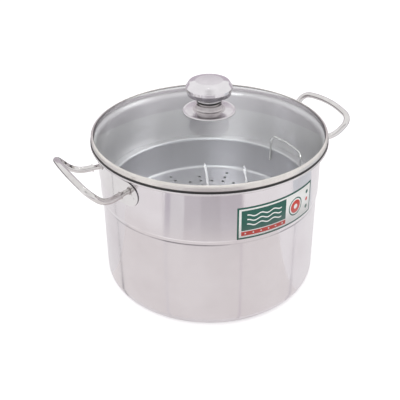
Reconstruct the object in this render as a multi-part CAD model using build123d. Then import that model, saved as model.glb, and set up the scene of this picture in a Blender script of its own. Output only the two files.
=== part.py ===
from build123d import *
from math import asin, atan2, copysign, cos, degrees, radians, sin, sqrt, tan
import os

# Steamer pot: a deep stainless pot with a ledge half way up, a perforated tray that hangs
# on the ledge, and a domed glass lid with a knob. Lengths are in millimetres, angles in
# degrees. +Z is up, the origin is the centre of the base on the surface that the pot
# stands on, and the two rod handles lie on +X and -X.

# Pot shell
pot_outer_radius = 141.0
pot_sheet = 0.8
pot_height = 201.0
base_corner_radius = 20.0
step_depth = 1.6
step_drop = 68.5
step_run = 6.0
crease_radius = 6.0
flare_radius = 7.0
curl_bore_radius = 0.65
curl_angle = 255

# Mounting plates under the rim
plate_sheet = 1.2
plate_height = 32.0
plate_half_angle = 23.5
plate_drop = 25.0

# Rod handles
rod_diameter = 8.0
arm_half_angle = 15.2
arm_dip = 4.7
arm_rise = 45.4
arm_run = 30.0
arm_bend_radius = 30.4
slope_run = 32.0
corner_radius = 13.8
bar_peak = 11.1
bar_bow_share = 0.96

# Sockets that carry the rod ends
stub_diameter = 6.5
stub_length = 7.0
collar_diameter = 9.6
collar_length = 1.8

# Steamer tray
tray_sheet = 0.7
tray_depth = 46.0
tray_taper = 3.2
tray_corner_radius = 6.0
tray_shoulder_radius = 3.0
flange_bearing = 1.0
flange_width = 10.4
panel_rise = 1.0
panel_margin = 15.6
panel_slant = 1.4
steam_hole_diameter = 4.4
steam_ring_inner = 29.0
steam_ring_margin = 3.4
steam_ring_counts = [8, 8, 16, 16, 32, 16, 8]

# Wire handles of the tray
wire_diameter = 3.0
wire_half_angle = 15.5
wire_bend_angle = 11.5
wire_corner_radius = 8.0
wire_drop = 16.0
wire_stand = 20.8

# Lid
dome_radius = 414.0
glass_thickness = 4.0
glass_bearing = 3.1
glass_hole_radius = 3.6
seal_height = 4.6
seal_width = 5.3
seal_overhang = 1.0
seal_lip = 2.1
band_sheet = 0.6
band_lap = 1.6
band_reach = 0.1
band_bend_radius = 1.3

# Knob, from the glass upwards
gasket_radius = 9.0
gasket_thickness = 0.4
flange_sheet = 0.5
flange_radius = 32.9
flange_lip_width = 2.2
flange_lip_height = 0.6
flange_lip_radius = 0.5
foot_radius = 20.0
foot_height = 0.9
foot_edge_radius = 0.4
neck_radius = 16.5
neck_height = 6.5
neck_blend_radius = 2.0
recess_radius = 13.2
recess_height = 2.2
ring_radius = 15.6
ring_height = 5.0
ring_edge_radius = 0.8
pan_knee_radius = 27.0
pan_knee_height = 5.2
pan_rim_radius = 28.0
pan_rim_height = 10.7
cap_sheet = 0.8
cap_radius = 28.8
cap_top_radius = 17.0
cap_shoulder_radius = 24.8
cap_shoulder_height = 10.4
cap_height = 11.9
cap_wall_height = 4.0
cap_blend_radius = 1.5

# Screw, washer and insert that hold the knob
insert_radius = 4.6
insert_length = 14.0
insert_wall = 2.0
thread_clearance = 0.1
lower_gasket_thickness = 1.2
washer_radius = 8.0
washer_thickness = 1.2
screw_head_radius = 4.8
screw_head_height = 3.0
screw_slot_width = 1.2
screw_slot_depth = 1.4

# Gap between a loose piece and the seat that it rests on
rest_gap = 0.3

# A quarter of a turn, in degrees
quarter_turn = 90

# Length by which every cutting tool runs past what it cuts
overrun = 10.0


def spun(profile):
    """Solid of revolution about Z of a face drawn with radius as x and height as y."""
    return revolve(Plane.XZ * profile, Axis.Z)


def sheet_line(points, radii, inset):
    """Filleted line through the points, moved to its left by the inset."""
    corners = [Vector(*point) for point in points]
    runs = [(b - a).normalized() for a, b in zip(corners, corners[1:])]
    sides = [Vector(-run.Y, run.X) for run in runs]
    mitres = [(a + b) * (1 / (1 + a.dot(b))) for a, b in zip(sides, sides[1:])]
    shifts = [sides[0], *mitres, sides[-1]]
    turns = [a.cross(b).Z for a, b in zip(runs, runs[1:])]
    return FilletPolyline(
        [corner + shift * inset for corner, shift in zip(corners, shifts)],
        radius=[radius - copysign(inset, turn * inset) for radius, turn in zip(radii, turns)],
    )


def spun_sheet(line, sheet):
    """Spin a sheet of even thickness; line(inset) gives its face and the faces inset from it."""
    face = line(0)
    back = line(sheet)
    ends = [Line(face @ 1, back @ 1), Line(back @ 0, face @ 0)]
    return spun(make_face([*face.edges(), ends[0], *back.edges(), ends[1]]))


def spun_outline(*points):
    """Spin a closed outline of straight lines."""
    return spun(make_face(Polyline(*points, close=True)))


def drum(radius, low, high):
    """Upright cylinder about Z between two heights."""
    return Plane.XY.offset(low) * Cylinder(
        radius, high - low, align=(Align.CENTER, Align.CENTER, Align.MIN)
    )


def ring(outer, inner, low, high):
    """Upright tube about Z between two heights."""
    return drum(outer, low, high) - drum(inner, low - overrun, high + overrun)


def polar(radius, angle, height):
    """Point at a radius, an angle from +X and a height."""
    return Vector(radius * cos(radians(angle)), radius * sin(radians(angle)), height)


def rod(path, diameter):
    """Round rod along a path."""
    section = Plane(origin=path @ 0, z_dir=path % 0) * Circle(diameter / 2)
    return sweep(section, path=path)


def both_sides(part):
    """The part on +X and its twin on -X."""
    return {"right": part, "left": Rot(0, 0, 180) * part}


# Heights and radii that the pieces share
pot_lower_radius = pot_outer_radius - step_depth
step_top = pot_height - step_drop
step_bottom = step_top - step_run
wall_slant = atan2(step_depth, step_run)
rim_radius = pot_outer_radius + flare_radius
plate_face_radius = pot_outer_radius + plate_sheet
plate_centre_height = pot_height - plate_drop


# Pot: one drawn sheet, stepped in below the ledge, flared and curled at the rim
def pot_line(inset):
    flare_bottom = pot_height - pot_sheet - flare_radius
    points = [
        (0, 0),
        (pot_lower_radius, 0),
        (pot_lower_radius, step_bottom),
        (pot_outer_radius, step_top),
        (pot_outer_radius, flare_bottom),
    ]
    wall = sheet_line(points, [base_corner_radius, crease_radius, crease_radius], inset)
    flare = JernArc(wall @ 1, (0, 1), flare_radius + inset, -quarter_turn)
    curl = JernArc(flare @ 1, (1, 0), curl_bore_radius + inset, -curl_angle)
    return Wire([*wall.edges(), flare, curl])


def make_pot_shell():
    return spun_sheet(pot_line, pot_sheet)


# Mounting plate: a pill-shaped sheet rolled to the wall and spot-welded to it
def make_plate():
    low = plate_centre_height - plate_height / 2
    skin = ring(plate_face_radius, pot_outer_radius, low, low + plate_height)
    width = 2 * plate_face_radius * sin(radians(plate_half_angle))
    outline = Plane.YZ.offset(overrun) * Pos(0, plate_centre_height) * SlotOverall(width, plate_height)
    return skin & extrude(outline, amount=pot_outer_radius + overrun)


# Rod handle: two arms that leave the wall on the plate, dip, bend up and turn into a bowed bar
def handle_points():
    dip = radians(arm_dip)
    rise = radians(arm_rise)
    start_radius = plate_face_radius
    bend_radius = start_radius + arm_run * cos(dip)
    bend_height = plate_centre_height - arm_run * sin(dip)
    end_radius = bend_radius + slope_run * cos(rise)
    end_height = bend_height + slope_run * sin(rise)
    start = polar(start_radius, arm_half_angle, plate_centre_height)
    bend = polar(bend_radius, arm_half_angle, bend_height)
    corner = polar(end_radius, arm_half_angle, end_height)
    slope = atan2(sin(rise), cos(rise) * cos(radians(arm_half_angle)))
    peak = Vector(corner.X + bar_peak * cos(slope), 0, corner.Z + bar_peak * sin(slope))
    return start, bend, corner, peak


def make_handle():
    start, bend, corner, peak = handle_points()
    corner_turn = (corner - bend).get_angle(peak - corner)
    bar_turn = atan2(bar_peak, corner.Y)
    corner_reach = corner_radius * tan(radians(corner_turn) / 2)
    bow_radius = bar_bow_share * ((peak - corner).length - corner_reach) / tan(bar_turn)
    arm = (bend - start).normalized()
    rod_start = start + arm * (stub_length + collar_length)
    mirrored = [Vector(p.X, -p.Y, p.Z) for p in (corner, bend, rod_start)]
    path = FilletPolyline(
        rod_start, bend, corner, peak, *mirrored,
        radius=[arm_bend_radius, corner_radius, bow_radius, corner_radius, arm_bend_radius],
    )
    return rod(path, rod_diameter)


# Sockets: a thin stub welded to the plate and a collar against the end of the rod
def make_sockets():
    start, bend, corner, peak = handle_points()
    sockets = []
    for side in (1, -1):
        arm = Vector(bend.X - start.X, side * (bend.Y - start.Y), bend.Z - start.Z)
        seat = Plane(origin=(start.X, side * start.Y, start.Z), z_dir=arm)
        stub = extrude(seat.offset(-rod_diameter / 2) * Circle(stub_diameter / 2),
                       amount=stub_length + rod_diameter / 2)
        collar = extrude(seat.offset(stub_length) * Circle(collar_diameter / 2), amount=collar_length)
        sockets.append((stub - drum(plate_face_radius, 0, pot_height)) + collar)
    return Compound(children=sockets)


# Tray: a drawn pan whose flange bears on the ledge, with rings of steam holes
flange_edge = pot_lower_radius - pot_sheet + flange_bearing
ledge_foot_height = step_bottom + pot_sheet * sin(wall_slant)
ledge_foot_radius = pot_lower_radius - pot_sheet * cos(wall_slant)
ledge_seat_radius = flange_edge + rest_gap / cos(wall_slant)
flange_low = ledge_foot_height + (ledge_seat_radius - ledge_foot_radius) / tan(wall_slant)
floor_low = flange_low - tray_depth
tray_mouth_radius = flange_edge - flange_width
tray_floor_radius = tray_mouth_radius - tray_taper
panel_radius = tray_floor_radius - panel_margin


def tray_line(inset):
    points = [
        (0, floor_low + panel_rise),
        (panel_radius, floor_low + panel_rise),
        (panel_radius + panel_slant, floor_low),
        (tray_floor_radius, floor_low),
        (tray_mouth_radius, flange_low),
        (flange_edge, flange_low),
    ]
    radii = [panel_slant, panel_slant, tray_corner_radius, tray_shoulder_radius]
    return sheet_line(points, radii, inset)


def make_tray_pan():
    pan = spun_sheet(tray_line, tray_sheet)
    floor = Plane.XY.offset(floor_low)
    pitch = (panel_radius - steam_ring_margin - steam_ring_inner) / (len(steam_ring_counts) - 1)
    for index, count in enumerate(steam_ring_counts):
        radius = steam_ring_inner + index * pitch
        drill = Cylinder(steam_hole_diameter / 2, overrun)
        pan -= floor * PolarLocations(radius, count) * drill
    return pan


# Wire handle of the tray: a loop spot-welded to the inside of the wall
def make_tray_handle():
    lean = tray_taper / tray_depth
    inside = tray_sheet + wire_diameter / 2
    flange_top = flange_low + tray_sheet

    def leg(height):
        radius = tray_mouth_radius - (flange_low - height) * lean - inside * sqrt(1 + lean**2)
        return polar(radius, wire_half_angle, height)

    foot = leg(flange_top - wire_drop)
    mouth = leg(flange_top)
    bar_radius = sqrt(mouth.X**2 + mouth.Y**2)
    peak = Vector(bar_radius / cos(radians(wire_bend_angle)), 0, flange_top + wire_stand)
    corner = Vector(peak.X - mouth.Y * tan(radians(wire_bend_angle)), mouth.Y, peak.Z)
    mirrored = [Vector(p.X, -p.Y, p.Z) for p in (corner, foot)]
    path = FilletPolyline(
        foot, corner, peak, *mirrored,
        radius=[wire_corner_radius, bar_radius, wire_corner_radius],
    )
    return rod(path, wire_diameter)


# Lid: a tempered dome, its steel band and the seal that rests on the rim
seal_outer_radius = rim_radius + seal_overhang
seal_inner_radius = seal_outer_radius - seal_width
glass_radius = seal_inner_radius + glass_bearing
band_inner_radius = glass_radius - band_lap
band_turn_radius = glass_radius + band_reach
band_bend_angle = quarter_turn - degrees(asin(band_turn_radius / dome_radius))
band_low = pot_height + rest_gap + seal_lip
dome_centre = (
    pot_height + rest_gap + seal_height
    - sqrt((dome_radius - glass_thickness) ** 2 - seal_inner_radius**2)
)


def glass_top(radius):
    """Height of the upper face of the glass at a radius."""
    return dome_centre + sqrt(dome_radius**2 - radius**2)


def glass_under(radius):
    """Height of the lower face of the glass at a radius."""
    return dome_centre + sqrt((dome_radius - glass_thickness) ** 2 - radius**2)


def dome_line(inner, outer, inset):
    """Arc of the dome's section, raised by the inset, between two radii on its upper face."""
    start = degrees(asin(inner / dome_radius))
    end = degrees(asin(outer / dome_radius))
    return CenterArc((0, dome_centre), dome_radius + inset, quarter_turn - start, start - end)


def make_lid_glass():
    def face(inset):
        return dome_line(glass_hole_radius, glass_radius, inset)

    return spun_sheet(face, -glass_thickness)


def band_line(start_radius, inset):
    """Lip on the glass from a radius outwards, the bend over its edge and the upright wall."""
    lip = dome_line(start_radius, band_turn_radius, inset)
    bend = JernArc(lip @ 1, lip % 1, band_bend_radius + inset, -band_bend_angle)
    wall = Line(bend @ 1, ((bend @ 1).X, band_low))
    return Wire([lip, bend, wall])


def make_lid_band():
    def face(inset):
        return band_line(band_inner_radius, inset)

    return spun_sheet(face, band_sheet)


def make_lid_seal():
    low = pot_height + rest_gap
    under = dome_line(glass_hole_radius, glass_radius, -glass_thickness)
    band = band_line(glass_radius, 0)
    inner_top = (seal_inner_radius, glass_under(seal_inner_radius))
    middle = (seal_inner_radius + (under @ 1).X) / 2
    outline = [
        ThreePointArc(inner_top, (middle, glass_under(middle)), under @ 1),
        Line(under @ 1, band @ 0),
        *band.edges(),
        Line(band @ 1, (seal_outer_radius, band_low)),
        Line((seal_outer_radius, band_low), (seal_outer_radius, low)),
        Line((seal_outer_radius, low), (seal_inner_radius, low)),
        Line((seal_inner_radius, low), inner_top),
    ]
    return spun(make_face(outline))


# Knob: a dished flange on the glass, a waisted neck, a dark ring, a steel pan and a spun cap
gasket_top = glass_top(glass_hole_radius) + gasket_thickness
foot_low = gasket_top + flange_sheet
foot_high = foot_low + foot_height
neck_high = foot_high + neck_height
ring_low = neck_high + recess_height
pan_low = ring_low + ring_height
cap_low = pan_low + pan_rim_height
screw_radius = insert_radius - insert_wall
shank_hole_radius = screw_radius + thread_clearance
lower_gasket_high = glass_under(gasket_radius)
lower_gasket_low = lower_gasket_high - lower_gasket_thickness
washer_low = lower_gasket_low - washer_thickness


def flange_line(inset):
    lip_inner = flange_radius - flange_lip_width
    edge = flange_radius - flange_sheet
    field = glass_top(lip_inner) + gasket_thickness
    points = [
        (shank_hole_radius, gasket_top),
        (foot_radius, gasket_top),
        (lip_inner, field),
        (edge, field + flange_lip_height),
        (edge, glass_top(edge)),
    ]
    return sheet_line(points, [foot_radius, flange_lip_width, flange_lip_radius], inset)


def make_knob_flange():
    return spun_sheet(flange_line, flange_sheet)


def make_knob_neck():
    outline = FilletPolyline(
        (insert_radius, foot_low),
        (foot_radius, foot_low),
        (foot_radius, foot_high),
        (neck_radius, foot_high),
        (neck_radius, neck_high),
        (recess_radius, neck_high),
        (recess_radius, ring_low),
        (insert_radius, ring_low),
        radius=[0, 0, foot_edge_radius, neck_blend_radius, 0, 0, 0, 0],
        close=True,
    )
    return spun(make_face(outline))


def make_knob_ring():
    profile = Pos(0, ring_low) * Rectangle(ring_radius, ring_height, align=(Align.MIN, Align.MIN))
    edges = profile.vertices().group_by(Axis.X)[-1]
    body = spun(fillet(edges, ring_edge_radius))
    return body - drum(insert_radius, ring_low - overrun, ring_low + ring_height + overrun)


def make_knob_pan():
    knee = pan_low + pan_knee_height
    return spun_outline(
        (insert_radius, pan_low),
        (ring_radius, pan_low),
        (pan_knee_radius, knee),
        (pan_rim_radius, cap_low),
        (cap_radius - 2 * cap_sheet, cap_low),
        (cap_radius - 2 * cap_sheet, cap_low + cap_sheet),
        (insert_radius, cap_low + cap_sheet),
    )


def cap_line(inset):
    points = [
        (0, cap_low + cap_height),
        (cap_top_radius, cap_low + cap_height),
        (cap_shoulder_radius, cap_low + cap_shoulder_height),
        (cap_radius, cap_low + cap_wall_height),
        (cap_radius, cap_low),
    ]
    return sheet_line(points, [cap_blend_radius, cap_blend_radius, cap_blend_radius], inset)


def make_knob_cap():
    return spun_sheet(cap_line, -cap_sheet)


def make_knob_insert():
    return ring(insert_radius, shank_hole_radius, foot_low, foot_low + insert_length)


def make_gasket_top():
    low = glass_top(glass_hole_radius)
    return ring(gasket_radius, glass_hole_radius, low, low + gasket_thickness)


def make_gasket_bottom():
    return ring(gasket_radius, glass_hole_radius, lower_gasket_low, lower_gasket_high)


def make_washer():
    return ring(washer_radius, shank_hole_radius, washer_low, lower_gasket_low)


def make_screw():
    head_low = washer_low - screw_head_height
    head = drum(screw_head_radius, head_low, washer_low)
    slot = Pos(0, 0, head_low) * Box(4 * screw_head_radius, screw_slot_width, 2 * screw_slot_depth)
    return head - slot + drum(screw_radius, washer_low, foot_low + insert_length)


nodes = {
    "pot_shell": make_pot_shell(),
    "tray_pan": make_tray_pan(),
    "lid_glass": make_lid_glass(),
    "lid_band": make_lid_band(),
    "lid_seal": make_lid_seal(),
    "knob_flange": make_knob_flange(),
    "knob_neck": make_knob_neck(),
    "knob_ring": make_knob_ring(),
    "knob_pan": make_knob_pan(),
    "knob_cap": make_knob_cap(),
    "knob_insert": make_knob_insert(),
    "knob_gasket_top": make_gasket_top(),
    "knob_gasket_bottom": make_gasket_bottom(),
    "knob_washer": make_washer(),
    "knob_screw": make_screw(),
}
pairs = {
    "handle_plate": make_plate(),
    "handle_rod": make_handle(),
    "handle_sockets": make_sockets(),
    "tray_handle": make_tray_handle(),
}
for name, part in pairs.items():
    for side, placed in both_sides(part).items():
        nodes[f"{name}_{side}"] = placed

os.makedirs("parts", exist_ok=True)
for name, part in nodes.items():
    export_step(part, f"parts/{name}.step")
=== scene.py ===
from math import atan2, cos, pi, radians, sin

import bmesh
import bpy
from mathutils import Matrix, Vector


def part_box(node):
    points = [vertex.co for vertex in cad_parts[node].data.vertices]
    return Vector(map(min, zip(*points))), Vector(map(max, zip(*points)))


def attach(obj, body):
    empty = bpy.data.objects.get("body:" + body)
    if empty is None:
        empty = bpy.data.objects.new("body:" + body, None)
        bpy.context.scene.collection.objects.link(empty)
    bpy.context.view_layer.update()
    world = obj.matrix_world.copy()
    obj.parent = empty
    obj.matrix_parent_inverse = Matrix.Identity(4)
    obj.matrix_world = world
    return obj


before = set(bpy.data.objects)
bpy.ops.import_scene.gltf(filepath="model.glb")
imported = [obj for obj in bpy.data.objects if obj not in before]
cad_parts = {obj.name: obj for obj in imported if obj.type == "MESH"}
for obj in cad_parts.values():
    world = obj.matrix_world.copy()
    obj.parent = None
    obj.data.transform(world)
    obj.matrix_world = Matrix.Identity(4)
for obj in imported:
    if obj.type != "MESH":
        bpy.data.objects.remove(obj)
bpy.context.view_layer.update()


# Pot shell: 0.8 mm stainless sheet, deep-drawn with a ledge, then polished on a lathe. The
# polish runs round the pot, so the wall mirrors the table drawn out up and down, with crisp
# upright edges. The polish lines are drawn coarser than real ones, so that they show.
mm = 0.001
wall_radius = 141.0 * mm
# The ledge's crease gets a painted dark line, a painted shade, and its crest a painted bright line,
# a painted highlight.
crease_painted_shade = (126.6 * mm, 1.6 * mm, "#6E6B71")
crest_painted_highlight = (132.4 * mm, 1.2 * mm, "#F4F2F4")
# The shell's inside is brushed duller and lighter than its outside.
brushed_inside = ("#EFEDEF", 0.34, 0.0)
# A Mix node's sockets by number: its factor, its two numbers, its two colours, and the mixed
# number and colour that it gives.
factor, number_a, number_b, colour_a, colour_b, mixed_number, mixed_colour = 0, 2, 3, 6, 7, 0, 2


def srgb(code):
    """Linear colour of an sRGB hex code."""
    parts = [int(code[i:i + 2], 16) / 255 for i in (1, 3, 5)]
    return [p / 12.92 if p <= 0.04045 else ((p + 0.055) / 1.055) ** 2.4 for p in parts] + [1.0]


def add_node(tree, kind, options=None, values=None, links=None, ramp=None):
    """Adds a shader node with its settings, input values, links and the ends of its ramp."""
    made = tree.nodes.new("ShaderNode" + kind)
    for name, value in (options or {}).items():
        setattr(made, name, value)
    for name, value in (values or {}).items():
        made.inputs[name].default_value = value
    for name, socket in (links or {}).items():
        tree.links.new(socket, made.inputs[name])
    if ramp:
        for end, (position, shade) in zip(made.color_ramp.elements, ramp):
            end.position = position
            end.color = srgb(shade)
    return made


def new_finish(name):
    """A material and its empty node tree."""
    finish = bpy.data.materials.new(name)
    finish.use_nodes = True
    finish.node_tree.nodes.clear()
    return finish, finish.node_tree


def wear(finish, *names):
    """Gives CAD nodes a finish."""
    for name in names:
        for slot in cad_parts[name].material_slots:
            slot.material = finish


def spun_metal(name, light, dark, roughness, stretch, line_width, cloud_size, depth,
               inside=None, painted_lines=()):
    """Metal polished on a lathe: lines round +Z, a cloudy tone and stretched reflections.

    inside is a tone, a roughness and a limit. A face takes the first two where its outward
    turn, 1 for straight out and -1 for straight in, times its radius in metres, is under the
    limit. Each painted line, dark for a painted shade and bright for a painted highlight, is a
    height, a reach up and down, and a tone.
    """
    finish, tree = new_finish(name)
    place = add_node(tree, "TexCoord").outputs["Object"]
    axes = add_node(tree, "SeparateXYZ", links={0: place})

    # Round the pot runs the direction (-y, x, 0), and the lines follow radius plus height.
    back = add_node(tree, "Math", {"operation": "MULTIPLY"}, {1: -1.0}, {0: axes.outputs["Y"]})
    around = add_node(tree, "CombineXYZ", links={"X": back.outputs[0], "Y": axes.outputs["X"]})
    flat = add_node(tree, "VectorMath", {"operation": "MULTIPLY"}, {1: (1, 1, 0)}, {0: place})
    radius = add_node(tree, "VectorMath", {"operation": "LENGTH"}, links={0: flat.outputs[0]})
    across = add_node(tree, "Math", {"operation": "ADD"},
                      links={0: radius.outputs["Value"], 1: axes.outputs["Z"]})
    lines = add_node(tree, "TexNoise", {"noise_dimensions": "1D"},
                     {"Scale": 1 / line_width, "Detail": 3.0, "Roughness": 0.6},
                     {"W": across.outputs[0]})
    clouds = add_node(tree, "TexNoise",
                      values={"Scale": 1 / cloud_size, "Detail": 3.0, "Roughness": 0.5},
                      links={"Vector": place})
    colour = add_node(tree, "ValToRGB", links={0: clouds.outputs[0]},
                      ramp=((0.35, dark), (0.65, light))).outputs[0]
    swing = 0.2 * roughness
    rough = add_node(tree, "MapRange",
                     values={"To Min": roughness - swing, "To Max": roughness + swing},
                     links={"Value": lines.outputs[0]}).outputs[0]

    if inside:
        inner_tone, inner_roughness, limit = inside
        normal = add_node(tree, "NewGeometry").outputs["Normal"]
        outward = add_node(tree, "VectorMath", {"operation": "DOT_PRODUCT"},
                           links={0: normal, 1: flat.outputs[0]})
        inner = add_node(tree, "Math", {"operation": "LESS_THAN"}, {1: limit},
                         {0: outward.outputs["Value"]})
        colour = add_node(tree, "Mix", {"data_type": "RGBA"}, {colour_b: srgb(inner_tone)},
                          {factor: inner.outputs[0], colour_a: colour}).outputs[mixed_colour]
        rough = add_node(tree, "Mix", values={number_b: inner_roughness},
                         links={factor: inner.outputs[0], number_a: rough}).outputs[mixed_number]

    # A painted line is boldest at its height, fades over its reach, and the clouds break it up.
    for height, reach, tone in painted_lines:
        off = add_node(tree, "Math", {"operation": "SUBTRACT"}, {1: height},
                       {0: axes.outputs["Z"]})
        away = add_node(tree, "Math", {"operation": "ABSOLUTE"}, links={0: off.outputs[0]})
        boldest = add_node(tree, "MapRange",
                           values={"From Min": 0.42, "From Max": 0.62, "To Min": 0.15},
                           links={"Value": clouds.outputs[0]})
        bold = add_node(tree, "MapRange", values={"From Max": reach, "To Max": 0.0},
                        links={"Value": away.outputs[0], "To Min": boldest.outputs[0]})
        colour = add_node(tree, "Mix", {"data_type": "RGBA"}, {colour_b: srgb(tone)},
                          {factor: bold.outputs[0], colour_a: colour}).outputs[mixed_colour]

    bump = add_node(tree, "Bump", values={"Strength": 0.3, "Distance": depth},
                    links={"Height": lines.outputs[0]})
    metal = add_node(tree, "BsdfPrincipled",
                     values={"Metallic": 1.0, "Anisotropic": stretch, "Anisotropic Rotation": 0.25},
                     links={"Base Color": colour, "Roughness": rough,
                            "Normal": bump.outputs[0], "Tangent": around.outputs[0]})
    add_node(tree, "OutputMaterial", links={0: metal.outputs[0]})
    return finish


# The ledge's crease and crest get painted lines: a painted shade and a painted highlight.
wear(spun_metal("lathe_polished_stainless", light="#DEDADC", dark="#D8D3D5", roughness=0.15,
                stretch=0.9, line_width=1.5 * mm, cloud_size=60 * mm, depth=0.004 * mm,
                inside=brushed_inside, painted_lines=(crease_painted_shade, crest_painted_highlight)),
     "pot_shell")

# Handle plates: 1.2 mm stainless, pressed to the wall's curve and spot-welded under the rim.
# Their press finish is brighter than the wall's. Their edges and backs are painted dark and dull,
# a painted shadow of the gap where each plate meets the wall. Each end shows its small weld spots.
plate_gap_painted_shadow = ("#6A686C", 0.35, 0.07)
plate_metal = spun_metal("pressed_stainless", light="#DFDDDC", dark="#D6D3D3", roughness=0.1,
                         stretch=0.2, line_width=2.0 * mm, cloud_size=25 * mm,
                         depth=0.004 * mm, inside=plate_gap_painted_shadow)
wear(plate_metal, "handle_plate_right", "handle_plate_left")
plate_low, plate_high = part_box("handle_plate_right")
plate_face = plate_high[0]
plate_middle = (plate_low[2] + plate_high[2]) / 2
weld_radius = 1.1 * mm
weld_height = 0.3 * mm
# Each end of a plate has two welds: degrees from the plate's middle, and the rise over it.
upper_weld = (19.6, 1.2 * mm)
lower_weld = (20.9, -2.6 * mm)


def finished_object(name, form, finish):
    """Turns a bmesh into an object with a finish."""
    mesh = bpy.data.meshes.new(name)
    form.to_mesh(mesh)
    form.free()
    mesh.materials.append(finish)
    made = bpy.data.objects.new(name, mesh)
    bpy.context.scene.collection.objects.link(made)
    return made


for side, facing in (("right", 0.0), ("left", pi)):
    form = bmesh.new()
    for angle, rise in (upper_weld, lower_weld):
        for end in (1, -1):
            turned = Matrix.Rotation(facing + end * radians(angle), 4, "Z")
            seat = Matrix.Translation((plate_face, 0, plate_middle + rise))
            dome = bmesh.ops.create_uvsphere(form, u_segments=16, v_segments=8, radius=weld_radius)
            bmesh.ops.scale(form, verts=dome["verts"], vec=(weld_height / weld_radius, 1, 1))
            bmesh.ops.transform(form, verts=dome["verts"], matrix=turned @ seat)
    for face in form.faces:
        face.smooth = True
    weld_marks = finished_object("weld_marks_" + side, form, plate_metal)
    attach(weld_marks, "pot")

# Label: white vinyl printed in green and red, stuck to the wall under the rim. The print is
# a plain design of blocks, waves and dots, with a slight gloss and a grain that is drawn
# coarser than a real print's. The print's sizes are in millimetres, from its lower left.
label_width = 115.0
label_height = 42.4
label_foot = 133.0
label_start = radians(-108.2)
label_gap = 0.12 * mm
label_sheet = 0.08 * mm
label_radius = wall_radius + label_gap
green = "#1C5A4E"
red = "#CC3F33"
white = "#F1F1EF"
border_width = 2.2
block_middle = (35.0, 24.6)
block_half = (30.0, 13.4)
stripe_middle = (35.0, 7.2)
stripe_half = (30.0, 2.8)
wave_half = (23.0, 0.8)
wave_step = 6.1
wave_length = 17.0
wave_swing = 1.3
stripe_dots = range(10, 61, 10)
stripe_dot = 1.0
rings_middle = (82.0, label_height / 2)
rings = ((12.0, green), (10.4, white), (8.6, red), (3.2, white))
dots_across = 105.0
dots_step = 10.2
dot_radius = 2.6
grain_size = 1.25
vinyl, vinyl_tree = new_finish("printed_vinyl")
spot = add_node(vinyl_tree, "UVMap", {"uv_map": "label_mm"}).outputs[0]
spot_axes = add_node(vinyl_tree, "SeparateXYZ", links={0: spot})
phase = add_node(vinyl_tree, "Math", {"operation": "MULTIPLY"}, {1: 2 * pi / wave_length},
                 {0: spot_axes.outputs["X"]})
sway = add_node(vinyl_tree, "Math", {"operation": "SINE"}, links={0: phase.outputs[0]})
lift = add_node(vinyl_tree, "Math", {"operation": "MULTIPLY_ADD"}, {1: wave_swing},
                {0: sway.outputs[0], 2: spot_axes.outputs["Y"]})
waved_spot = add_node(vinyl_tree, "CombineXYZ",
                      links={"X": spot_axes.outputs["X"], "Y": lift.outputs[0]}).outputs[0]


def printed(below, shade, at, middle, half, is_round=False):
    """Prints a block or a disc in one shade over what is below."""
    local = add_node(vinyl_tree, "Mapping", {"vector_type": "TEXTURE"},
                     {"Location": (*middle, 0), "Scale": (*half, 1)}, {0: at}).outputs[0]
    if is_round:
        size = add_node(vinyl_tree, "VectorMath", {"operation": "LENGTH"},
                        links={0: local}).outputs["Value"]
    else:
        away = add_node(vinyl_tree, "VectorMath", {"operation": "ABSOLUTE"}, links={0: local})
        sides = add_node(vinyl_tree, "SeparateXYZ", links={0: away.outputs[0]})
        size = add_node(vinyl_tree, "Math", {"operation": "MAXIMUM"},
                        links={0: sides.outputs["X"], 1: sides.outputs["Y"]}).outputs[0]
    covers = add_node(vinyl_tree, "Math", {"operation": "LESS_THAN"}, {1: 1.0}, {0: size})
    return add_node(vinyl_tree, "Mix", {"data_type": "RGBA"}, {colour_b: srgb(shade)},
                    {factor: covers.outputs[0], colour_a: below}).outputs[mixed_colour]


grain = add_node(vinyl_tree, "TexNoise", values={"Scale": 1 / grain_size, "Detail": 2.0},
                 links={"Vector": spot})
layer = add_node(vinyl_tree, "ValToRGB", links={0: grain.outputs[0]},
                 ramp=((0.0, "#185246"), (1.0, "#206254"))).outputs[0]
layer = printed(layer, white, spot, (label_width / 2, label_height / 2),
                (label_width / 2 - border_width, label_height / 2 - border_width))
layer = printed(layer, green, spot, block_middle, block_half)
layer = printed(layer, red, spot, stripe_middle, stripe_half)
for step in (-1, 0, 1):
    wave_middle = (block_middle[0], block_middle[1] + step * wave_step)
    layer = printed(layer, white, waved_spot, wave_middle, wave_half)
for across in stripe_dots:
    layer = printed(layer, white, spot, (across, stripe_middle[1]), (stripe_dot, stripe_dot), True)
for size, shade in rings:
    layer = printed(layer, shade, spot, rings_middle, (size, size), True)
for step, shade in ((-1, green), (0, red), (1, green)):
    dot_middle = (dots_across, rings_middle[1] + step * dots_step)
    layer = printed(layer, shade, spot, dot_middle, (dot_radius, dot_radius), True)
print_gloss = add_node(vinyl_tree, "MapRange", values={"To Min": 0.28, "To Max": 0.36},
                       links={"Value": grain.outputs[0]})
film = add_node(vinyl_tree, "BsdfPrincipled",
                links={"Base Color": layer, "Roughness": print_gloss.outputs[0]})
add_node(vinyl_tree, "OutputMaterial", links={0: film.outputs[0]})


def swept(profile, start, sweep, steps, closed=False):
    """A bmesh: a profile of (radius, height) points swept about the pot's axis."""
    form = bmesh.new()
    points = [form.verts.new((radius * cos(start), radius * sin(start), height))
              for radius, height in profile]
    runs = list(zip(points, points[1:]))
    if closed:
        runs.append((points[-1], points[0]))
    edges = [form.edges.new(run) for run in runs]
    bmesh.ops.spin(form, geom=[*points, *edges], cent=(0, 0, 0), axis=(0, 0, 1),
                   angle=sweep, steps=steps, use_merge=closed)
    return form


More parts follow.
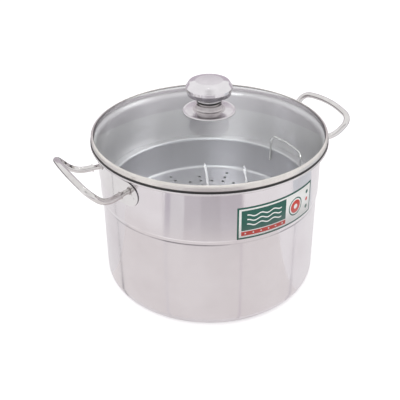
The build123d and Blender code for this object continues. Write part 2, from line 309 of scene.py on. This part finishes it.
label_ends = ((label_radius, label_foot * mm), (label_radius, (label_foot + label_height) * mm))
form = swept(label_ends, label_start, label_width * mm / label_radius, steps=48)
bmesh.ops.solidify(form, geom=form.faces[:], thickness=label_sheet)
bmesh.ops.recalc_face_normals(form, faces=form.faces)
print_places = form.loops.layers.uv.new("label_mm")
for face in form.faces:
    face.smooth = True
    for loop in face.loops:
        x, y, z = loop.vert.co
        along = (atan2(y, x) - label_start) * label_radius / mm
        loop[print_places].uv = (along, z / mm - label_foot)
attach(finished_object("wall_label", form, vinyl), "pot")

# Handles: 8 mm stainless rod, bent cold and tumbled bright, and the turned sockets that
# carry its ends. The bright skin mirrors the room with hard dark and light streaks.


def drawn_metal(name, light, dark, roughness, mottle_size, depth):
    """Bright rod or wire: an even mirror with a little mottling from the tumbling."""
    finish, tree = new_finish(name)
    place = add_node(tree, "TexCoord").outputs["Object"]
    mottle = add_node(tree, "TexNoise",
                      values={"Scale": 1 / mottle_size, "Detail": 4.0, "Roughness": 0.6},
                      links={"Vector": place})
    tone = add_node(tree, "ValToRGB", links={0: mottle.outputs[0]},
                    ramp=((0.3, dark), (0.7, light)))
    swing = 0.4 * roughness
    rough = add_node(tree, "MapRange",
                     values={"To Min": roughness - swing, "To Max": roughness + swing},
                     links={"Value": mottle.outputs[0]})
    bump = add_node(tree, "Bump", values={"Strength": 0.3, "Distance": depth},
                    links={"Height": mottle.outputs[0]})
    metal = add_node(tree, "BsdfPrincipled", values={"Metallic": 1.0},
                     links={"Base Color": tone.outputs[0], "Roughness": rough.outputs[0],
                            "Normal": bump.outputs[0]})
    add_node(tree, "OutputMaterial", links={0: metal.outputs[0]})
    return finish


wear(drawn_metal("tumbled_bright_rod", light="#E0DEDD", dark="#D4D1D0", roughness=0.08,
                 mottle_size=9 * mm, depth=0.02 * mm),
     "handle_rod_right", "handle_rod_left", "handle_sockets_right", "handle_sockets_left")

# Tray: 0.7 mm stainless sheet, drawn, pierced with rings of 4.4 mm holes and left satin. Its
# steep inner wall has a painted shade: a darker tone than its floor. It mirrors the pot's inside
# softly, which gives the grey the eye sees through the glass.
tray_wall_painted_shade = ("#CFCED4", 0.4, -0.1)
wear(spun_metal("satin_drawn_stainless", light="#ECEBED", dark="#E4E2E5", roughness=0.4,
                stretch=0.3, line_width=1.2 * mm, cloud_size=40 * mm, depth=0.004 * mm,
                inside=tray_wall_painted_shade),
     "tray_pan")

# Tray handles: 3 mm stainless wire, drawn bright, bent to a loop and welded inside the tray.
# The wire keeps a fine mottling, and mirrors the tray's floor and wall.
wear(drawn_metal("bright_wire", light="#E6E5E4", dark="#DAD8D7", roughness=0.1,
                 mottle_size=6 * mm, depth=0.02 * mm),
     "tray_handle_right", "tray_handle_left")

# Lid glass: 4 mm tempered soda-lime glass, bent to a shallow dome, with the faintest cool
# cast. Handling leaves a little haze, so the smoothness varies slowly over it.
haze_size = 35 * mm
tempered, glass_tree = new_finish("tempered_glass")
place = add_node(glass_tree, "TexCoord").outputs["Object"]
haze = add_node(glass_tree, "TexNoise",
                values={"Scale": 1 / haze_size, "Detail": 3.0, "Roughness": 0.5},
                links={"Vector": place})
smoothness = add_node(glass_tree, "MapRange",
                      values={"From Min": 0.45, "From Max": 0.75, "To Min": 0.0, "To Max": 0.05},
                      links={"Value": haze.outputs[0]})
glass = add_node(glass_tree, "BsdfPrincipled",
                 values={"Base Color": srgb("#F8FAFA"), "IOR": 1.5, "Transmission Weight": 1.0},
                 links={"Roughness": smoothness.outputs[0]})
add_node(glass_tree, "OutputMaterial", links={0: glass.outputs[0]})
wear(tempered, "lid_glass")

# Lid band: 0.6 mm stainless strip, roll-formed over the edge of the glass, with a warm satin
# skin that is lighter than the pot's.
wear(spun_metal("satin_rolled_band", light="#E2DEDA", dark="#D9D5D1", roughness=0.28,
                stretch=0.4, line_width=0.8 * mm, cloud_size=20 * mm, depth=0.004 * mm),
     "lid_band")

# Seal: black silicone rubber, extruded, joined to a ring and cured. Its skin is dull and
# faintly speckled, and shows as a thin dark line under the band.


def moulded(name, light, dark, roughness, grain_size, depth):
    """Rubber or plastic: a speckled tone and a shallow moulded grain."""
    finish, tree = new_finish(name)
    place = add_node(tree, "TexCoord").outputs["Object"]
    speckle = add_node(tree, "TexNoise", values={"Scale": 1 / grain_size, "Detail": 3.0},
                       links={"Vector": place})
    tone = add_node(tree, "ValToRGB", links={0: speckle.outputs[0]},
                    ramp=((0.0, dark), (1.0, light)))
    bump = add_node(tree, "Bump", values={"Strength": 0.3, "Distance": depth},
                    links={"Height": speckle.outputs[0]})
    skin = add_node(tree, "BsdfPrincipled", values={"Roughness": roughness},
                    links={"Base Color": tone.outputs[0], "Normal": bump.outputs[0]})
    add_node(tree, "OutputMaterial", links={0: skin.outputs[0]})
    return finish


wear(moulded("black_silicone", light="#262425", dark="#151414", roughness=0.5,
             grain_size=1.5 * mm, depth=0.05 * mm),
     "lid_seal")

# Knob: a spun bright cap on a polished pan, over a black heat-proof ring and a waisted
# neck, with a bright dished disc on the glass. Turned steel is duller than the spun cap.
wear(spun_metal("bright_spun_cap", light="#E6E3E6", dark="#E1DEE1", roughness=0.11,
                stretch=0.3, line_width=1.0 * mm, cloud_size=12 * mm, depth=0.001 * mm),
     "knob_cap")
wear(spun_metal("bright_pressed_disc", light="#E4E1E3", dark="#D8D4D7", roughness=0.22,
                stretch=0.3, line_width=1.0 * mm, cloud_size=10 * mm, depth=0.002 * mm),
     "knob_flange")
# The pan is painted a darker, mauve grey than the cap: a painted shade under the cap's rim.
wear(spun_metal("polished_pan_painted_shade", light="#C9C3C8", dark="#BDB6BC", roughness=0.12,
                stretch=0.3, line_width=0.8 * mm, cloud_size=8 * mm, depth=0.002 * mm),
     "knob_pan")
wear(spun_metal("turned_stainless", light="#D2CECE", dark="#C6C1C2", roughness=0.3,
                stretch=0.4, line_width=0.8 * mm, cloud_size=8 * mm, depth=0.002 * mm),
     "knob_neck", "knob_washer", "knob_screw")
wear(moulded("black_phenolic", light="#2A2828", dark="#1C1A1A", roughness=0.35,
             grain_size=2 * mm, depth=0.01 * mm),
     "knob_ring")

# Ferrule: a thin stainless collar, turned bright and pressed round the top of the black ring,
# which it grips by a tenth of a millimetre.
ferrule_grip = 0.1 * mm
ferrule_stand = 0.7 * mm
ferrule_height = 1.9 * mm
ring_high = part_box("knob_ring")[1]
ferrule_inside = ring_high[0] - ferrule_grip
ferrule_outside = ring_high[0] + ferrule_stand
ferrule_top = ring_high[2] - ferrule_grip
ferrule_foot = ferrule_top - ferrule_height
form = swept(((ferrule_inside, ferrule_foot), (ferrule_outside, ferrule_foot),
              (ferrule_outside, ferrule_top), (ferrule_inside, ferrule_top)),
             0.0, 2 * pi, steps=96, closed=True)
bmesh.ops.recalc_face_normals(form, faces=form.faces)
turned_bright = spun_metal("turned_bright_collar", light="#DEDADC", dark="#D2CED0",
                           roughness=0.25, stretch=0.3, line_width=0.6 * mm,
                           cloud_size=6 * mm, depth=0.002 * mm)
ferrule = finished_object("knob_ferrule", form, turned_bright)
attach(ferrule, "lid")

# Knob fixings: a turned brass insert in the neck, with a satin lathe finish, and soft pale
# silicone washers that keep the steel off the glass.
wear(spun_metal("turned_brass", light="#CBAE70", dark="#B89A5C", roughness=0.22,
                stretch=0.3, line_width=0.4 * mm, cloud_size=6 * mm, depth=0.004 * mm),
     "knob_insert")
wear(moulded("pale_silicone", light="#C9CBCB", dark="#B5B8B8", roughness=0.45,
             grain_size=1.5 * mm, depth=0.05 * mm),
     "knob_gasket_top", "knob_gasket_bottom")

# Camera: it stands where the photograph was taken from, and looks down over the pot's left
# front. Its place comes from the fit of the pot's circles, its heading from the handles.
camera_place = Vector((-436.4, -722.5, 613.4)) * mm
camera_heading = radians(30.29)
camera_pitch = radians(31.11)
camera_roll = radians(-0.54)
lens = bpy.data.cameras.new("camera")
lens.sensor_width = 36.0
lens.lens = 66.6
camera = bpy.data.objects.new("camera", lens)
turn = (
    Matrix.Rotation(-camera_heading, 4, "Z")
    @ Matrix.Rotation(pi / 2 - camera_pitch, 4, "X")
    @ Matrix.Rotation(camera_roll, 4, "Z")
)
camera.matrix_world = Matrix.Translation(camera_place) @ turn
bpy.context.scene.collection.objects.link(camera)
bpy.context.scene.camera = camera

# Table: matt white paper on which the pot stands. It glows a little, which lifts it to white
# for the camera and leaves the pot's shadow, and glows less in the metal's reflections.
table_half = 4.0
table_glow = 0.5
table_glow_mirrored = 0.27


def shown_rays(tree):
    """1 for camera, glossy and transmission rays, which see the studio's white."""
    seen = add_node(tree, "LightPath")
    both = add_node(tree, "Math", {"operation": "MAXIMUM"},
                    links={0: seen.outputs["Is Camera Ray"], 1: seen.outputs["Is Glossy Ray"]})
    return add_node(tree, "Math", {"operation": "MAXIMUM"},
                    links={0: both.outputs[0], 1: seen.outputs["Is Transmission Ray"]}).outputs[0]


white_paper, paper_tree = new_finish("white_paper")
mirrored = add_node(paper_tree, "LightPath").outputs["Is Glossy Ray"]
glow_level = add_node(paper_tree, "MapRange",
                      values={"To Min": table_glow, "To Max": table_glow_mirrored},
                      links={"Value": mirrored})
glow_shown = add_node(paper_tree, "Math", {"operation": "MULTIPLY"},
                      links={0: glow_level.outputs[0], 1: shown_rays(paper_tree)})
matt = add_node(paper_tree, "BsdfDiffuse", values={"Color": srgb("#E2E0E2")})
glow = add_node(paper_tree, "Emission", links={"Strength": glow_shown.outputs[0]})
sheet = add_node(paper_tree, "AddShader", links={0: matt.outputs[0], 1: glow.outputs[0]})
add_node(paper_tree, "OutputMaterial", links={0: sheet.outputs[0]})
form = bmesh.new()
bmesh.ops.create_grid(form, x_segments=1, y_segments=1, size=table_half)
finished_object("floor", form, white_paper)

# Table papers: greys laid round the pot that show only as reflections in metal and glass,
# where a real studio has its cards and table edges. The edges between the five in front give
# the wall its broad upright bands, and those behind darken the far side of the lid and rim.
near_ring = (0.145, 0.352)
front_ring = (0.352, 0.9)
right_ring = (0.31, 0.8)
behind_ring = (0.5, 1.3)
paper_height = 1.0 * mm
# Those behind lie a little lower, because the right one overlaps them.
behind_height = 0.5 * mm


def reflected_paper(name, form, tone, level=1.0):
    """A paper of one grey that shows in reflections only."""
    finish, tree = new_finish("paper_" + name)
    glow = add_node(tree, "Emission", values={"Color": srgb(tone), "Strength": level})
    add_node(tree, "OutputMaterial", links={0: glow.outputs[0]})
    paper = finished_object(name, form, finish)
    paper.visible_camera = False
    paper.visible_diffuse = False
    paper.visible_transmission = False
    paper.visible_shadow = False


def ring_piece(ring, first, last, height):
    """Part of a flat ring about the pot, between two angles from +X in degrees."""
    inner, outer = ring
    ends = ((inner, height), (outer, height))
    return swept(ends, radians(first), radians(last - first), steps=24)


reflected_paper("table_near", ring_piece(near_ring, -200, -60, paper_height), "#F5F1F1")
for name, first, last, tone in (
    ("a", -159, -154, "#D4D0D8"),
    ("b", -154, -142, "#EEEDF0"),
    ("c", -142, -128, "#D4D0D5"),
    ("d", -128, -112, "#CAC6CB"),
    ("e", -112, -93, "#D3CFD5"),
):
    form = ring_piece(front_ring, first, last, paper_height)
    reflected_paper("table_front_" + name, form, tone)
for name, first, last, tone in (
    ("right", -38, -20, "#C4C1C5"),
    ("middle", -20, 138, "#939094"),
    ("left", 138, 156, "#C4C1C5"),
):
    form = ring_piece(behind_ring, first, last, behind_height)
    reflected_paper("table_behind_" + name, form, tone)
reflected_paper("table_right", ring_piece(right_ring, -42, -12, paper_height), "#E1E6EB")

# Joins of the table papers: narrow strips whose reflections are the thin upright lines on
# the lower wall. Each starts at the wall's foot, at an angle from +X in degrees, and runs off
# where the wall there throws the line of sight from the camera's place.
join_length = 0.6
join_height = 2.0 * mm


def wedge(foot, heading, length, near, far):
    """A level strip from a point, which widens as it runs off on a heading from +X."""
    form = bmesh.new()
    bmesh.ops.create_grid(form, x_segments=1, y_segments=1, size=0.5)
    for end, width in ((-1, near), (1, far)):
        verts = [vert for vert in form.verts if vert.co.x * end > 0]
        bmesh.ops.scale(form, verts=verts, vec=(length, width, 1))
    bmesh.ops.translate(form, verts=form.verts, vec=(length / 2, 0, 0))
    bmesh.ops.transform(form, verts=form.verts,
                        matrix=Matrix.Translation(foot) @ Matrix.Rotation(heading, 4, "Z"))
    return form


for name, angle, near, far, tone in (
    ("join_left", -143.0, 4.0 * mm, 16.0 * mm, "#EEEBEE"),
    ("join_middle", -105.5, 4.0 * mm, 16.0 * mm, "#EAE4E8"),
    ("join_right", -73.1, 4.0 * mm, 20.0 * mm, "#DEDADF"),
    ("join_far_left", -174.7, 3.0 * mm, 6.0 * mm, "#8A888E"),
):
    outward = Vector((cos(radians(angle)), sin(radians(angle)), 0))
    foot = wall_radius * outward + Vector((0, 0, join_height))
    thrown = (foot - camera_place).reflect(outward)
    heading = atan2(thrown.y, thrown.x)
    reflected_paper(name, wedge(foot, heading, join_length, near, far), tone)

# Card: a sheet of grey card, held high behind the camera. It shows in reflections only, and
# darkens the upper sides of the handle rods.
card_place = (-0.75, -1.25, 1.5)
card_heading = radians(-121.0)
card_length = 1.0
card_width = 2.0
card = wedge(card_place, card_heading, card_length, card_width, card_width)
reflected_paper("card_behind_camera", card, "#A5A2A6")

# Tube lamps: two long thin lamps that hang beyond the pot. They show in reflections only, and
# the glass mirrors them as two bright strokes over the tray.
tube_height = 1.8
tube_width = 0.02
tube_level = 9.0
for name, x, y, heading, length in (
    ("tube_one", 0.376, 0.717, -115.7, 0.40),
    ("tube_two", 0.734, 0.497, -119.2, 0.29),
):
    form = wedge((x, y, tube_height), radians(heading), length, tube_width, tube_width)
    reflected_paper(name, form, "#FFFFFF", tube_level)

# Far wall: the room's wall beyond the pot, straight across the camera's heading, a shade
# darker than the tent and faintly mauve. It shows in reflections only, in the glass's back half.
far_wall_heading = radians(59.0)
far_wall_distance = 2.2
far_wall_middle = 0.58
far_wall_length = 5.0
far_wall_height = 1.15
form = bmesh.new()
bmesh.ops.create_grid(form, x_segments=1, y_segments=1, size=0.5)
bmesh.ops.scale(form, verts=form.verts, vec=(far_wall_length, far_wall_height, 1))
upright = Matrix.Rotation(pi / 2, 4, "Z") @ Matrix.Rotation(pi / 2, 4, "X")
stood = Matrix.Translation((far_wall_distance, 0, far_wall_middle)) @ upright
bmesh.ops.transform(form, verts=form.verts,
                    matrix=Matrix.Rotation(far_wall_heading, 4, "Z") @ stood)
reflected_paper("far_wall", form, "#CCC3CC")

# Tent: even white cloth all round, which lights the pot softly and shows as plain white to
# the camera, in the metal and through the glass.
tent = bpy.data.worlds.new("tent")
tent.use_nodes = True
tent_tree = tent.node_tree
tent_tree.nodes.clear()
fill = add_node(tent_tree, "Background", values={"Color": srgb("#FFFFFF"), "Strength": 0.7})
backdrop = add_node(tent_tree, "Background", values={"Color": srgb("#FFFFFF"), "Strength": 1.0})
cloth = add_node(tent_tree, "MixShader",
                 links={0: shown_rays(tent_tree), 1: fill.outputs[0], 2: backdrop.outputs[0]})
add_node(tent_tree, "OutputWorld", links={0: cloth.outputs[0]})
bpy.context.scene.world = tent

# Soft lamps: a stronger one at the left front and a weaker one at the right front, both
# aimed at the middle of the pot. The metal and glass don't mirror them.
lamp_aim = Vector((0, 0, 0.12))


def soft_lamp(name, place, size, watts):
    """A square soft lamp, aimed at the pot, that isn't mirrored itself."""
    light = bpy.data.lights.new(name, "AREA")
    light.size = size
    light.energy = watts
    lamp = bpy.data.objects.new(name, light)
    lamp.location = place
    lamp.rotation_euler = (lamp_aim - Vector(place)).to_track_quat("-Z", "Y").to_euler()
    lamp.visible_glossy = False
    bpy.context.scene.collection.objects.link(lamp)


soft_lamp("key", place=(-1.2, -0.9, 1.6), size=1.0, watts=12)
soft_lamp("fill", place=(1.3, -0.6, 1.4), size=1.0, watts=6)

# Colours show as they are written.
bpy.context.scene.view_settings.view_transform = "Standard"
